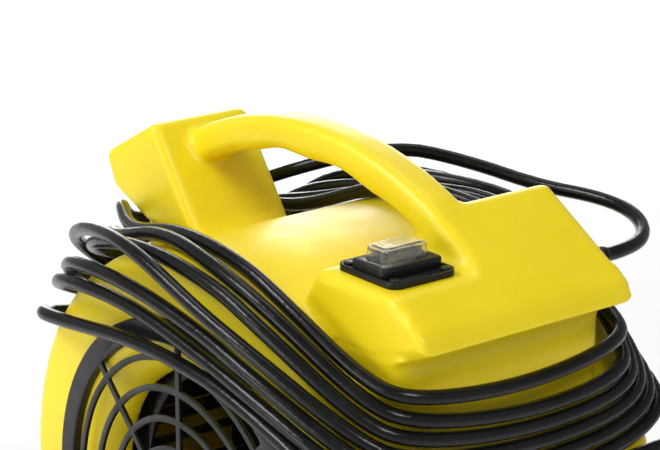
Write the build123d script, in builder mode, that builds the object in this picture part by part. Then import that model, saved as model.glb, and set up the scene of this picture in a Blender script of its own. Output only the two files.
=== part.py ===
"""Carpet drying blower: a moulded snail housing, a double inlet fan and a wound mains cord.

Frame: +X towards the outlet, +Z up, millimetres. The origin is on the floor, under the fan axis.
"""

from build123d import *
from math import asin, atan, cos, degrees, pi, radians, sin, sqrt, tan
import os

os.makedirs("parts", exist_ok=True)

# Housing: scroll, outlet duct and wall
half_width = 130.0
wall = 5.0
scroll_radius = 194.0
rear_growth = 5.0
floor_growth = 4.0
rim_round = 14.0
foot_height = 12.0
mouth_x = 222.0
mouth_height = 112.0
tongue_radius = 90.0
tongue_angle = 60.0
notch_round = 16.0
axis_height = foot_height + scroll_radius + 2 * rear_growth + floor_growth

# Rear legs of the housing
leg_inner_y = 72.0
leg_outer_y = 118.0
leg_rear_x = -160.0
leg_front_x = -20.0
leg_top_rise = -80.0
leg_round = 8.0

# Inlets in both side walls
inlet_radius = 138.0
throat_radius = 108.0
throat_depth = 30.0
lip_thickness = 4.0

# Front wedge, rises above the fan axis
front_half_width = 90.0
crest_x = 113.4
crest_rise = 237.0
nose_x = 196.8
nose_rise = 187.0
nose_under_x = 188.5
nose_under_rise = 170.0
front_neck_x = 178.0
front_neck_half_width = 84.0
front_foot_x = 66.0
neck_top_rise = 164.0
neck_low_rise = 60.0
neck_round = 14.0
wedge_round = 7.0

# Switch pad in the near half of the front wedge
pad_rise = 204.5
pad_rear_x = 80.0

# Rear wedge, rises above the fan axis
rear_half_width = 43.0
peak_x = -162.6
peak_rise = 239.0
rear_nose_top_rise = 203.0
rear_nose_under_rise = 178.0
rear_nose_tuck = 12.0
nose_round_loss = 2.15
rear_neck_x = -186.0
rear_neck_half_width = 37.0
rear_foot_x = -108.0

# Handle, an arched bar between the wedges
handle_width = 32.0
handle_thickness = 25.0
handle_top_rise = 264.3
handle_top_x = -14.0
handle_radius = 311.0
handle_round = 9.0
handle_rear_x = -157.0

# Inlet grilles
grille_thickness = 6.0
grille_bar_depth = 3.0
grille_bar_setback = 0.5
grille_lap = 12.0
grille_flange = 16.0
grille_pitch = 21.3
grille_first_ring = 38.0
grille_rings = 5
grille_bar = 4.5
grille_spokes = 8
grille_hub_radius = 20.0
grille_screws = 6

# Outlet grille
outlet_thickness = 4.0
outlet_border = 10.0
outlet_bar = 4.0
outlet_bars = 9
outlet_rails = 2
outlet_spigot = 10.0
outlet_spigot_wall = 3.0
outlet_corner = 12.0
outlet_setback = 1.0

# Screws
screw_radius = 2.0
screw_hole_radius = 2.2
screw_head_radius = 4.5
screw_head_height = 2.0
screw_grip = 4.0
screw_end_gap = 1.0

# Motor bracket, motor and shaft along the fan axis
bracket_thickness = 3.0
bracket_hub_radius = 46.0
bracket_arm_width = 24.0
bracket_end = 8.0
bracket_arms = 4
bracket_bolt_offset = 6.0
bolt_radius = 3.0
bolt_hole_radius = 3.3
bolt_head_radius = 6.0
bolt_head_height = 4.0
motor_radius = 64.0
motor_wall = 3.0
cap_depth = 12.0
cap_flange_radius = 74.0
through_bolt_radius = 69.0
shell_length = 70.0
core_radius = 36.0
core_length = 46.0
air_gap = 0.6
winding_depth = 9.0
shaft_radius = 7.5
running_clearance = 0.05
bearing_radius = 17.5
bearing_width = 10.0
seat_clearance = 0.1
shaft_nose_y = -26.0
shaft_chamfer = 1.0
shaft_hole_clearance = 1.5
cap_screw_circle = 29.0

# Capacitor beside the motor
capacitor_radius = 13.0
capacitor_length = 50.0
capacitor_round = 2.0
capacitor_angle = -90.0
clip_width = 14.0
clip_thickness = 1.5

# Impeller
impeller_radius = 125.0
blade_inner_radius = 101.0
impeller_half_width = 92.0
impeller_blades = 32
blade_thickness = 1.6
blade_lean = 10.0
blade_bow = 3.3
blade_edge = 1.0
end_ring = 3.0
plate_thickness = 3.0
hub_radius = 15.0
hub_flange_radius = 28.0
hub_flange = 5.0
hub_length = 20.0
rivet_radius = 2.5
rivet_head_radius = 4.5
rivet_head = 2.0
rivet_circle = 22.0
set_screw_radius = 2.5

# Rubber feet
foot_radius = 17.0
foot_taper = 2.0
foot_front_x = 170.0
foot_rear_x = -120.0
foot_y = 95.0
foot_screw_radius = 2.5
foot_screw_head_radius = 6.0
foot_screw_head = 3.0
foot_screw_recess = 3.0

# Switch set
switch_x = 127.5
switch_y = -52.0
plate_length = 59.0
plate_width = 54.0
plate_thick = 3.0
plate_corner = 8.0
plate_lip = 2.0
plate_lip_height = 1.2
plate_screw_head_radius = 3.5
switch_hole_x = 26.0
switch_hole_y = 42.0
fit_clearance = 0.3
body_depth = 24.0
body_wall = 3.6
body_lip = 2.0
body_lip_overhang = 1.8
body_corner = 2.0
frame_wall = 2.0
frame_height = 7.0
frame_corner = 4.0
frame_chamfer = 1.2
boot_wall = 1.2
boot_height = 15.0
boot_round = 5.0
rocker_gap = 0.5
rocker_end_gap = 2.5
rocker_height = 9.0
rocker_dip = 2.0
rocker_tilt = 9.0
pivot_drop = 4.0
pin_radius = 1.3
terminal_length = 7.0
terminal_width = 6.3
terminal_thickness = 0.8
pocket_floor_rise = 171.0

# Cord, gland and plug
cord_radius = 5.0
gland_x = 140.0
gland_rise = 184.0
gland_flange_radius = 13.0
gland_flange = 4.0
gland_length = 26.0
gland_root_radius = 9.0
gland_tip_radius = 6.2
gland_stem_radius = 8.0
gland_stem = 12.0

# Cord winding: seven turns round the two necks. A turn visits the stations below in order.
# Slot 0 is the first turn, and a turn climbs from one slot to the next on its way round.
cord_turns = 7
end_station = 13
drape_radius = 28.0
arc_samples = 6
bend_share = 0.45

# Plug
plug_length = 52.0
plug_taper_length = 28.6
plug_flare_length = 36.4
plug_face_radius = 18.0
plug_grip_radius = 13.0
plug_tail_radius = 6.5
pin_length = 19.0
plug_pin_radius = 2.4
plug_pin_spacing = 19.0


def front_wedge_line():
    """Side outline of the front wedge, above the neck."""
    foot = (front_foot_x, axis_height + neck_top_rise)
    crest = (crest_x, axis_height + crest_rise)
    nose = (nose_x, axis_height + nose_rise)
    under = (nose_under_x, axis_height + nose_under_rise)
    neck = (front_neck_x - wall, axis_height + neck_top_rise)
    return Polyline(foot, crest, nose, under, neck, close=True)


rear_nose_x = -(mouth_x + outlet_thickness + nose_round_loss)


def rear_wedge_line():
    """Side outline of the rear wedge, above the neck."""
    foot = (rear_foot_x, axis_height + neck_top_rise)
    peak = (peak_x, axis_height + peak_rise)
    nose_top = (rear_nose_x, axis_height + rear_nose_top_rise)
    nose_under = (rear_nose_x + rear_nose_tuck, axis_height + rear_nose_under_rise)
    neck = (rear_neck_x + wall, axis_height + neck_top_rise)
    return Polyline(foot, peak, nose_top, nose_under, neck, close=True)


def scroll_line(inset):
    """Side outline of the scroll and its duct, moved in by a wall; the mouth stays open."""
    radius = scroll_radius - inset
    rear_radius = radius + rear_growth
    tongue_x = scroll_radius - tongue_radius
    CenterArc((0, axis_height), radius, 0, 90)
    CenterArc((0, axis_height - rear_growth), rear_radius, 90, 90)
    low = CenterArc((floor_growth, axis_height - rear_growth), rear_radius + floor_growth, 180, 90)
    tongue = CenterArc((tongue_x, axis_height), tongue_radius - inset, -tongue_angle, tongue_angle)
    floor_line = Line(low @ 1, (mouth_x + inset, foot_height + inset))
    mouth = Line(floor_line @ 1, (mouth_x + inset, foot_height + mouth_height - inset))
    return mouth @ 1, tongue @ 0


fan_axis = Axis((0, 0, axis_height), (0, 1, 0))
grille_outer_radius = inlet_radius + grille_lap
screw_circle_radius = grille_outer_radius - grille_flange / 2
bracket_bolt_radius = grille_outer_radius + bracket_bolt_offset
bracket_reach = bracket_bolt_radius + bracket_end
bracket_turn = 180.0 / bracket_arms
plate_screws_x = plate_length - 2 * (screw_head_radius + plate_lip)
plate_screws_y = plate_width - 2 * (screw_head_radius + plate_lip)
foot_places = [(x, y) for x in (foot_front_x, foot_rear_x) for y in (-foot_y, foot_y)]


def side_plane(side, distance):
    """Upright plane across the fan axis, on the near (-1) or far (1) side."""
    return Plane.XZ.offset(-side * distance)


def bell_mouth_line(side):
    """Section of one inlet: a rounded mouth that narrows from the side wall to the throat."""
    bend = sqrt(0.5)
    depth = throat_depth
    width = inlet_radius - throat_radius
    face_y = half_width
    throat_y = face_y - depth
    back_radius = inlet_radius + lip_thickness
    inner = ThreePointArc(
        (inlet_radius, side * face_y),
        (inlet_radius - bend * width, side * (throat_y + bend * depth)),
        (throat_radius, side * throat_y))
    lip = Line(inner @ 1, (throat_radius + lip_thickness, side * throat_y))
    outer = ThreePointArc(
        lip @ 1,
        (back_radius - bend * width, side * (throat_y - lip_thickness + bend * depth)),
        (back_radius, side * (face_y - lip_thickness)))
    Polyline(outer @ 1, (back_radius, side * face_y), inner @ 0)


# Front wedge on its neck, with the flat switch pad cut into its near half
with BuildPart() as front_wedge:
    with BuildSketch(Plane.XZ):
        with BuildLine():
            front_wedge_line()
        make_face()
    extrude(amount=front_half_width, both=True)
    pad_width = front_half_width - handle_width / 2
    with BuildSketch(Plane.XY.offset(axis_height + pad_rise)):
        with Locations((pad_rear_x, -front_half_width)):
            Rectangle(nose_x - pad_rear_x, pad_width, align=(Align.MIN, Align.MIN))
    extrude(amount=crest_rise, mode=Mode.SUBTRACT)
    fillet(front_wedge.edges().filter_by(lambda e: e.center().Z > axis_height + neck_top_rise + 1),
           radius=wedge_round)

with BuildPart() as front_neck:
    with BuildSketch(Plane.XY.offset(axis_height + neck_low_rise)):
        with Locations((front_neck_x, 0)):
            Rectangle(front_neck_x - crest_x + wall, 2 * front_neck_half_width,
                      align=(Align.MAX, Align.CENTER))
    extrude(amount=neck_top_rise - neck_low_rise + wall)
    fillet(front_neck.edges().filter_by(Axis.Z).group_by(Axis.X)[-1], radius=neck_round)

# Rear wedge on its neck
with BuildPart() as rear_wedge:
    with BuildSketch(Plane.XZ):
        with BuildLine():
            rear_wedge_line()
        make_face()
    extrude(amount=rear_half_width, both=True)
    fillet(rear_wedge.edges().filter_by(lambda e: e.center().Z > axis_height + neck_top_rise + 1),
           radius=wedge_round)

with BuildPart() as rear_neck:
    with BuildSketch(Plane.XY.offset(axis_height + neck_low_rise)):
        with Locations((rear_neck_x, 0)):
            Rectangle(rear_foot_x - rear_neck_x, 2 * rear_neck_half_width, align=(Align.MIN, Align.CENTER))
    extrude(amount=neck_top_rise - neck_low_rise + wall)
    fillet(rear_neck.edges().filter_by(Axis.Z).group_by(Axis.X)[0], radius=neck_round)

# Handle bar
with BuildPart() as handle:
    handle_centre = (handle_top_x, axis_height + handle_top_rise - handle_radius)
    rear_angle = 90 + degrees(asin((handle_top_x - handle_rear_x) / handle_radius))
    front_angle = 90 - degrees(asin((crest_x - handle_top_x) / handle_radius))
    with BuildSketch(Plane.XZ):
        with BuildLine():
            handle_top = CenterArc(handle_centre, handle_radius, front_angle, rear_angle - front_angle)
            handle_under = CenterArc(handle_centre, handle_radius - handle_thickness,
                                     front_angle, rear_angle - front_angle)
            Line(handle_top @ 0, handle_under @ 0)
            Line(handle_top @ 1, handle_under @ 1)
        make_face()
    extrude(amount=handle_width / 2, both=True)
    fillet(handle.edges().filter_by(GeomType.CIRCLE), radius=handle_round)

with BuildPart() as housing:
    with BuildSketch(Plane.XZ):
        with BuildLine():
            mouth_top, tongue_tip = scroll_line(0)
            Line(mouth_top, tongue_tip)
        make_face()
    extrude(amount=half_width, both=True)
    notch_x = scroll_radius - tongue_radius + tongue_radius * cos(radians(tongue_angle))
    notch_z = axis_height - tongue_radius * sin(radians(tongue_angle))
    notch = housing.edges().filter_by(Axis.Y).sort_by_distance((notch_x, 0, notch_z))[:1]
    fillet(notch, radius=notch_round)
    outline = housing.edges().filter_by(
        lambda e: abs(abs(e.center().Y) - half_width) < 0.01 and e.center().X < mouth_x - 0.01)
    fillet(outline, radius=rim_round)
    add(front_neck.part)
    add(rear_neck.part)
    add(front_wedge.part)
    add(rear_wedge.part)
    add(handle.part)
    # Rear legs under the scroll
    with BuildSketch(Plane.XY.offset(foot_height)):
        with Locations(((leg_rear_x + leg_front_x) / 2, 0)):
            with GridLocations(0, leg_inner_y + leg_outer_y, 1, 2):
                RectangleRounded(leg_front_x - leg_rear_x, leg_outer_y - leg_inner_y, leg_round)
    extrude(amount=axis_height + leg_top_rise - foot_height)
    # Hollow scroll, open at the mouth
    with BuildSketch(Plane.XZ):
        with BuildLine():
            mouth_top, tongue_tip = scroll_line(wall)
            tip_point = Vector(tongue_tip.X - wall, tongue_tip.Y - wall)
            Polyline(mouth_top, tip_point, tongue_tip)
        make_face()
    extrude(amount=half_width - wall, both=True, mode=Mode.SUBTRACT)
    # Bell mouth inlets in both side walls
    with BuildSketch(Plane.XZ):
        with Locations((0, axis_height)):
            Circle(inlet_radius)
    extrude(amount=half_width, both=True, mode=Mode.SUBTRACT)
    for side in (-1, 1):
        with BuildSketch(Plane.XY.offset(axis_height)):
            with BuildLine():
                bell_mouth_line(side)
            make_face()
        revolve(axis=fan_axis)
    # Switch pocket under the pad, its panel hole and the gland hole
    with BuildSketch(Plane.XY.offset(axis_height + pocket_floor_rise)):
        with Locations((switch_x, switch_y + wall / 2)):
            Rectangle(plate_length - 2 * wall, plate_width - wall)
    extrude(amount=pad_rise - wall - pocket_floor_rise, mode=Mode.SUBTRACT)
    with BuildSketch(Plane.XY.offset(axis_height + pad_rise)):
        with Locations((switch_x, switch_y)):
            Rectangle(switch_hole_x, switch_hole_y)
    extrude(amount=-2 * wall, mode=Mode.SUBTRACT)
    with BuildSketch(Plane.XZ.offset(-front_half_width)):
        with Locations((gland_x, axis_height + gland_rise)):
            Circle(gland_stem_radius + seat_clearance)
    extrude(amount=front_half_width - switch_y - plate_width / 2, mode=Mode.SUBTRACT)
    # Screw holes for the grilles, the motor bracket and the feet
    for side in (-1, 1):
        with BuildSketch(side_plane(side, half_width)):
            with Locations((0, axis_height)):
                with PolarLocations(screw_circle_radius, grille_screws):
                    Circle(screw_hole_radius)
        extrude(amount=side * (screw_grip + fit_clearance), mode=Mode.SUBTRACT)
    with BuildSketch(side_plane(1, half_width)):
        with Locations((0, axis_height)):
            with PolarLocations(bracket_bolt_radius, bracket_arms, start_angle=bracket_turn):
                Circle(bolt_hole_radius)
    extrude(amount=2 * wall, mode=Mode.SUBTRACT)
    with BuildSketch(Plane.XY.offset(foot_height)):
        with Locations(*foot_places):
            Circle(foot_screw_radius + seat_clearance)
    extrude(amount=screw_grip + fit_clearance, mode=Mode.SUBTRACT)
    with BuildSketch(Plane.XY.offset(axis_height + pad_rise)):
        with Locations((switch_x, switch_y)):
            with GridLocations(plate_screws_x, plate_screws_y, 2, 2):
                Circle(screw_hole_radius)
    extrude(amount=-screw_grip - fit_clearance, mode=Mode.SUBTRACT)

housing.part.label = "housing"
export_step(housing.part, "parts/housing.step")

# Inlet grilles: a flange, concentric rings and spokes
grille_names = {-1: "near", 1: "far"}
grille_face = half_width + grille_thickness
for side, name in grille_names.items():
    with BuildPart() as inlet_grille:
        with BuildSketch(side_plane(side, half_width)):
            with Locations((0, axis_height)):
                Circle(grille_outer_radius)
                Circle(grille_outer_radius - grille_flange, mode=Mode.SUBTRACT)
        extrude(amount=-side * grille_thickness)
        rim_edges = inlet_grille.edges().filter_by(
            lambda e: abs(abs(e.center().Y) - grille_face) < 0.01)
        fillet(rim_edges, radius=grille_bar_depth / 2)
        with BuildSketch(side_plane(side, grille_face - grille_bar_depth)):
            with Locations((0, axis_height)):
                for ring in reversed(range(grille_rings)):
                    ring_radius = grille_first_ring + ring * grille_pitch
                    Circle(ring_radius + grille_bar / 2)
                    Circle(ring_radius - grille_bar / 2, mode=Mode.SUBTRACT)
                Circle(grille_hub_radius)
                with PolarLocations(0, grille_spokes):
                    Rectangle(grille_outer_radius - grille_flange / 2, grille_bar,
                              align=(Align.MIN, Align.CENTER))
        extrude(amount=-side * (grille_bar_depth - grille_bar_setback))
        with BuildSketch(side_plane(side, half_width)):
            with Locations((0, axis_height)):
                with PolarLocations(screw_circle_radius, grille_screws):
                    Circle(screw_hole_radius)
        extrude(amount=-side * grille_thickness, mode=Mode.SUBTRACT)
        if side > 0:
            with BuildSketch(side_plane(side, half_width)):
                with Locations((0, axis_height)):
                    with PolarLocations(0, bracket_arms, start_angle=bracket_turn):
                        Rectangle(bracket_reach, bracket_arm_width + 2 * fit_clearance,
                                  align=(Align.MIN, Align.CENTER))
            extrude(amount=-side * bracket_thickness, mode=Mode.SUBTRACT)
    inlet_grille.part.label = f"inlet_grille_{name}"
    export_step(inlet_grille.part, f"parts/inlet_grille_{name}.step")

    with BuildPart() as screws:
        with BuildSketch(side_plane(side, grille_face)):
            with Locations((0, axis_height)):
                with PolarLocations(screw_circle_radius, grille_screws):
                    Circle(screw_head_radius)
        extrude(amount=-side * screw_head_height)
        with BuildSketch(side_plane(side, grille_face)):
            with Locations((0, axis_height)):
                with PolarLocations(screw_circle_radius, grille_screws):
                    Circle(screw_radius)
        extrude(amount=side * (grille_thickness + screw_grip))
    screws.part.label = f"grille_screws_{name}"
    export_step(screws.part, f"parts/grille_screws_{name}.step")

# Outlet grille, pushed into the mouth by its spigot
outlet_mid_z = foot_height + mouth_height / 2
with BuildPart() as outlet_grille:
    open_width = 2 * (half_width - wall - fit_clearance)
    open_height = mouth_height - 2 * (wall + fit_clearance)
    with BuildSketch(Plane.YZ.offset(mouth_x)):
        with Locations((0, outlet_mid_z)):
            RectangleRounded(2 * (half_width - outlet_setback), mouth_height - 2 * outlet_setback,
                             outlet_corner)
            Rectangle(2 * (half_width - outlet_border), mouth_height - 2 * outlet_border, mode=Mode.SUBTRACT)
            with GridLocations((2 * (half_width - outlet_border)) / (outlet_bars + 1), 0, outlet_bars, 1):
                Rectangle(outlet_bar, mouth_height - outlet_border)
            with GridLocations(0, (mouth_height - 2 * outlet_border) / (outlet_rails + 1), 1, outlet_rails):
                Rectangle(2 * half_width - outlet_border, outlet_bar)
    extrude(amount=outlet_thickness)
    with BuildSketch(Plane.YZ.offset(mouth_x)):
        with Locations((0, outlet_mid_z)):
            Rectangle(open_width, open_height)
            Rectangle(open_width - 2 * outlet_spigot_wall, open_height - 2 * outlet_spigot_wall,
                      mode=Mode.SUBTRACT)
    extrude(amount=-outlet_spigot)
outlet_grille.part.label = "outlet_grille"
export_step(outlet_grille.part, "parts/outlet_grille.step")

# Motor bracket: a steel spider on the far side wall
with BuildPart() as motor_bracket:
    with BuildSketch(side_plane(1, half_width)):
        with Locations((0, axis_height)):
            Circle(bracket_hub_radius)
            with PolarLocations(0, bracket_arms, start_angle=bracket_turn):
                Rectangle(bracket_reach, bracket_arm_width, align=(Align.MIN, Align.CENTER))
            with PolarLocations(bracket_bolt_radius, bracket_arms, start_angle=bracket_turn):
                Circle(bolt_hole_radius, mode=Mode.SUBTRACT)
            with PolarLocations(cap_screw_circle, bracket_arms, start_angle=bracket_turn / 2):
                Circle(screw_hole_radius, mode=Mode.SUBTRACT)
    extrude(amount=-bracket_thickness)
motor_bracket.part.label = "motor_bracket"
export_step(motor_bracket.part, "parts/motor_bracket.step")

with BuildPart() as bracket_bolts:
    bracket_face = half_width + bracket_thickness
    with BuildSketch(side_plane(1, bracket_face)):
        with Locations((0, axis_height)):
            with PolarLocations(bracket_bolt_radius, bracket_arms, start_angle=bracket_turn):
                RegularPolygon(bolt_head_radius, 6)
    extrude(amount=-bolt_head_height)
    with BuildSketch(side_plane(1, bracket_face)):
        with Locations((0, axis_height)):
            with PolarLocations(bracket_bolt_radius, bracket_arms, start_angle=bracket_turn):
                Circle(bolt_radius)
    extrude(amount=bracket_thickness + wall + bolt_head_height)
    with BuildSketch(side_plane(1, half_width - wall)):
        with Locations((0, axis_height)):
            with PolarLocations(bracket_bolt_radius, bracket_arms, start_angle=bracket_turn):
                RegularPolygon(bolt_head_radius, 6)
    extrude(amount=bolt_head_height)
bracket_bolts.part.label = "bracket_bolts"
export_step(bracket_bolts.part, "parts/bracket_bolts.step")

# Motor: rear cap on the bracket, shell, drive cap, stator and bearings
rear_cap_y = half_width - cap_depth
drive_cap_y = rear_cap_y - shell_length
core_mid_y = rear_cap_y - shell_length / 2
core_start_y = core_mid_y - core_length / 2
bolt_turn = bracket_turn / 2


def ring_face(outer, inner, start_y):
    """A flat ring round the fan axis; extruded by a negative amount it grows towards +Y."""
    with BuildSketch(side_plane(1, start_y)) as ring:
        with Locations((0, axis_height)):
            Circle(outer)
            if inner:
                Circle(inner, mode=Mode.SUBTRACT)
    return ring.sketch


with BuildPart() as motor_rear_cap:
    extrude(ring_face(cap_flange_radius, 0, rear_cap_y), amount=-cap_depth)
    with BuildSketch(side_plane(1, rear_cap_y)):
        with Locations((0, axis_height)):
            Circle(bearing_radius + seat_clearance)
    extrude(amount=-bearing_width, mode=Mode.SUBTRACT)
    with BuildSketch(side_plane(1, rear_cap_y)):
        with Locations((0, axis_height)):
            with PolarLocations(through_bolt_radius, bracket_arms, start_angle=bolt_turn):
                Circle(screw_hole_radius)
    extrude(amount=-cap_depth, mode=Mode.SUBTRACT)
    with BuildSketch(side_plane(1, half_width)):
        with Locations((0, axis_height)):
            with PolarLocations(cap_screw_circle, bracket_arms, start_angle=bolt_turn):
                Circle(screw_hole_radius)
    extrude(amount=2 * screw_grip, mode=Mode.SUBTRACT)
motor_rear_cap.part.label = "motor_rear_cap"
export_step(motor_rear_cap.part, "parts/motor_rear_cap.step")

with BuildPart() as motor_drive_cap:
    drive_hole_radius = shaft_radius + shaft_hole_clearance
    extrude(ring_face(cap_flange_radius, drive_hole_radius, drive_cap_y - cap_depth), amount=-cap_depth)
    with BuildSketch(side_plane(1, drive_cap_y)):
        with Locations((0, axis_height)):
            Circle(bearing_radius + seat_clearance)
    extrude(amount=bearing_width, mode=Mode.SUBTRACT)
    with BuildSketch(side_plane(1, drive_cap_y)):
        with Locations((0, axis_height)):
            with PolarLocations(through_bolt_radius, bracket_arms, start_angle=bolt_turn):
                Circle(screw_hole_radius)
    extrude(amount=cap_depth, mode=Mode.SUBTRACT)
motor_drive_cap.part.label = "motor_drive_cap"
export_step(motor_drive_cap.part, "parts/motor_drive_cap.step")

with BuildPart() as motor_shell:
    extrude(ring_face(motor_radius, motor_radius - motor_wall, drive_cap_y), amount=-shell_length)
motor_shell.part.label = "motor_shell"
export_step(motor_shell.part, "parts/motor_shell.step")

with BuildPart() as stator_core:
    core_outer = motor_radius - motor_wall - seat_clearance
    extrude(ring_face(core_outer, core_radius, core_start_y), amount=-core_length)
stator_core.part.label = "stator_core"
export_step(stator_core.part, "parts/stator_core.step")

with BuildPart() as stator_windings:
    coil_inner = core_radius + motor_wall
    coil_outer = motor_radius - 2 * motor_wall
    extrude(ring_face(coil_outer, coil_inner, core_start_y + core_length), amount=-winding_depth)
    extrude(ring_face(coil_outer, coil_inner, core_start_y - winding_depth), amount=-winding_depth)
stator_windings.part.label = "stator_windings"
export_step(stator_windings.part, "parts/stator_windings.step")

for name, start_y in (("drive", drive_cap_y - bearing_width), ("rear", rear_cap_y)):
    with BuildPart() as bearing:
        extrude(ring_face(bearing_radius, shaft_radius + running_clearance, start_y), amount=-bearing_width)
    bearing.part.label = f"motor_bearing_{name}"
    export_step(bearing.part, f"parts/motor_bearing_{name}.step")

with BuildPart() as motor_bolts:
    bolt_start = drive_cap_y - cap_depth
    for radius, start_y, length in (
            (screw_head_radius, bolt_start - screw_head_height, screw_head_height),
            (screw_radius, bolt_start, cap_depth * 2 + shell_length),
            (screw_head_radius, half_width, screw_head_height)):
        with BuildSketch(side_plane(1, start_y)):
            with Locations((0, axis_height)):
                with PolarLocations(through_bolt_radius, bracket_arms, start_angle=bolt_turn):
                    Circle(radius)
        extrude(amount=-length)
motor_bolts.part.label = "motor_bolts"
export_step(motor_bolts.part, "parts/motor_bolts.step")

with BuildPart() as cap_screws:
    cap_screw_length = bracket_thickness + 2 * screw_grip - screw_end_gap
    for radius, start_y, length in (
            (screw_head_radius, bracket_face, screw_head_height),
            (screw_radius, bracket_face - cap_screw_length, cap_screw_length)):
        with BuildSketch(side_plane(1, start_y)):
            with Locations((0, axis_height)):
                with PolarLocations(cap_screw_circle, bracket_arms, start_angle=bolt_turn):
                    Circle(radius)
        extrude(amount=-length)
cap_screws.part.label = "motor_cap_screws"
export_step(cap_screws.part, "parts/motor_cap_screws.step")

# Run capacitor strapped to the motor shell
capacitor_circle = motor_radius + clip_thickness + capacitor_radius + seat_clearance
capacitor_x = capacitor_circle * cos(radians(capacitor_angle))
capacitor_z = axis_height + capacitor_circle * sin(radians(capacitor_angle))
with BuildPart() as run_capacitor:
    with BuildSketch(side_plane(1, core_mid_y - capacitor_length / 2)):
        with Locations((capacitor_x, capacitor_z)):
            Circle(capacitor_radius)
    extrude(amount=-capacitor_length)
    fillet(run_capacitor.edges().group_by(Axis.Y)[0], radius=capacitor_round)
run_capacitor.part.label = "run_capacitor"
export_step(run_capacitor.part, "parts/run_capacitor.step")

with BuildPart() as capacitor_clip:
    with BuildSketch(side_plane(1, core_mid_y - clip_width / 2)):
        with Locations((capacitor_x, capacitor_z)):
            Circle(capacitor_radius + clip_thickness)
            Circle(capacitor_radius + seat_clearance, mode=Mode.SUBTRACT)
    extrude(amount=-clip_width)
capacitor_clip.part.label = "capacitor_clip"
export_step(capacitor_clip.part, "parts/capacitor_clip.step")

# Fan: shaft, rotor, impeller, hub
with BuildPart() as motor_shaft:
    extrude(ring_face(shaft_radius, 0, shaft_nose_y), amount=-(rear_cap_y + bearing_width - shaft_nose_y))
    chamfer(motor_shaft.edges().group_by(Axis.Y)[0], length=shaft_chamfer)
motor_shaft.part.label = "motor_shaft"
export_step(motor_shaft.part, "parts/motor_shaft.step")

with BuildPart() as rotor_core:
    extrude(ring_face(core_radius - air_gap, shaft_radius, core_start_y), amount=-core_length)
rotor_core.part.label = "rotor_core"
export_step(rotor_core.part, "parts/rotor_core.step")

with BuildSketch() as blade:
    blade_mid = (impeller_radius + blade_inner_radius) / 2
    with BuildLine():
        back = ThreePointArc(
            (blade_inner_radius + blade_edge, 0),
            (blade_mid, blade_bow),
            (impeller_radius - blade_edge, blade_lean))
        front = ThreePointArc(
            (blade_inner_radius + blade_edge, blade_thickness),
            (blade_mid, blade_bow + blade_thickness),
            (impeller_radius - blade_edge, blade_lean + blade_thickness))
        Line(back @ 0, front @ 0)
        Line(back @ 1, front @ 1)
    make_face()

with BuildPart() as impeller:
    extrude(ring_face(impeller_radius, hub_radius, -plate_thickness / 2), amount=-plate_thickness)
    extrude(ring_face(impeller_radius, blade_inner_radius, impeller_half_width - end_ring), amount=-end_ring)
    extrude(ring_face(impeller_radius, blade_inner_radius, -impeller_half_width), amount=-end_ring)
    with BuildSketch(side_plane(1, -impeller_half_width)):
        with Locations((0, axis_height)):
            with PolarLocations(0, impeller_blades):
                add(blade.sketch)
    extrude(amount=-2 * impeller_half_width)
    with BuildSketch(side_plane(1, -plate_thickness / 2)):
        with Locations((0, axis_height)):
            with PolarLocations(rivet_circle, bracket_arms):
                Circle(rivet_radius)
    extrude(amount=-plate_thickness, mode=Mode.SUBTRACT)
impeller.part.label = "impeller"
export_step(impeller.part, "parts/impeller.step")

with BuildPart() as impeller_hub:
    flange_y = plate_thickness / 2
    extrude(ring_face(hub_flange_radius, shaft_radius, flange_y), amount=-hub_flange)
    extrude(ring_face(hub_radius, shaft_radius, flange_y - hub_length), amount=-hub_length)
    with BuildSketch(Plane.XY.offset(axis_height)):
        with Locations((0, flange_y - hub_length / 2)):
            Circle(set_screw_radius + seat_clearance)
    extrude(amount=2 * hub_radius, mode=Mode.SUBTRACT)
    with BuildSketch(side_plane(1, flange_y)):
        with Locations((0, axis_height)):
            with PolarLocations(rivet_circle, bracket_arms):
                Circle(rivet_radius)
    extrude(amount=-hub_flange, mode=Mode.SUBTRACT)
impeller_hub.part.label = "impeller_hub"
export_step(impeller_hub.part, "parts/impeller_hub.step")

with BuildPart() as hub_set_screw:
    with BuildSketch(Plane.XY.offset(axis_height + shaft_radius)):
        with Locations((0, flange_y - hub_length / 2)):
            Circle(set_screw_radius)
    extrude(amount=hub_radius - shaft_radius)
hub_set_screw.part.label = "hub_set_screw"
export_step(hub_set_screw.part, "parts/hub_set_screw.step")

with BuildPart() as hub_rivets:
    for radius, start_y, length in (
            (rivet_head_radius, -plate_thickness / 2 - rivet_head, rivet_head),
            (rivet_radius, -plate_thickness / 2, plate_thickness + hub_flange),
            (rivet_head_radius, plate_thickness / 2 + hub_flange, rivet_head)):
        with BuildSketch(side_plane(1, start_y)):
            with Locations((0, axis_height)):
                with PolarLocations(rivet_circle, bracket_arms):
                    Circle(radius)
        extrude(amount=-length)
hub_rivets.part.label = "hub_rivets"
export_step(hub_rivets.part, "parts/hub_rivets.step")

# Rubber feet with a screw up their middle
with BuildPart() as rubber_feet:
    with BuildSketch(Plane.XY.offset(foot_height)):
        with Locations(*foot_places):
            Circle(foot_radius)
    extrude(amount=-foot_height, taper=degrees(atan(foot_taper / foot_height)))
    with BuildSketch(Plane.XY):
        with Locations(*foot_places):
            Circle(foot_screw_radius + seat_clearance)
    extrude(amount=foot_height, mode=Mode.SUBTRACT)
    with BuildSketch(Plane.XY):
        with Locations(*foot_places):
            Circle(foot_screw_head_radius + fit_clearance)
    extrude(amount=foot_screw_recess + foot_screw_head, mode=Mode.SUBTRACT)
rubber_feet.part.label = "rubber_feet"
export_step(rubber_feet.part, "parts/rubber_feet.step")

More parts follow.
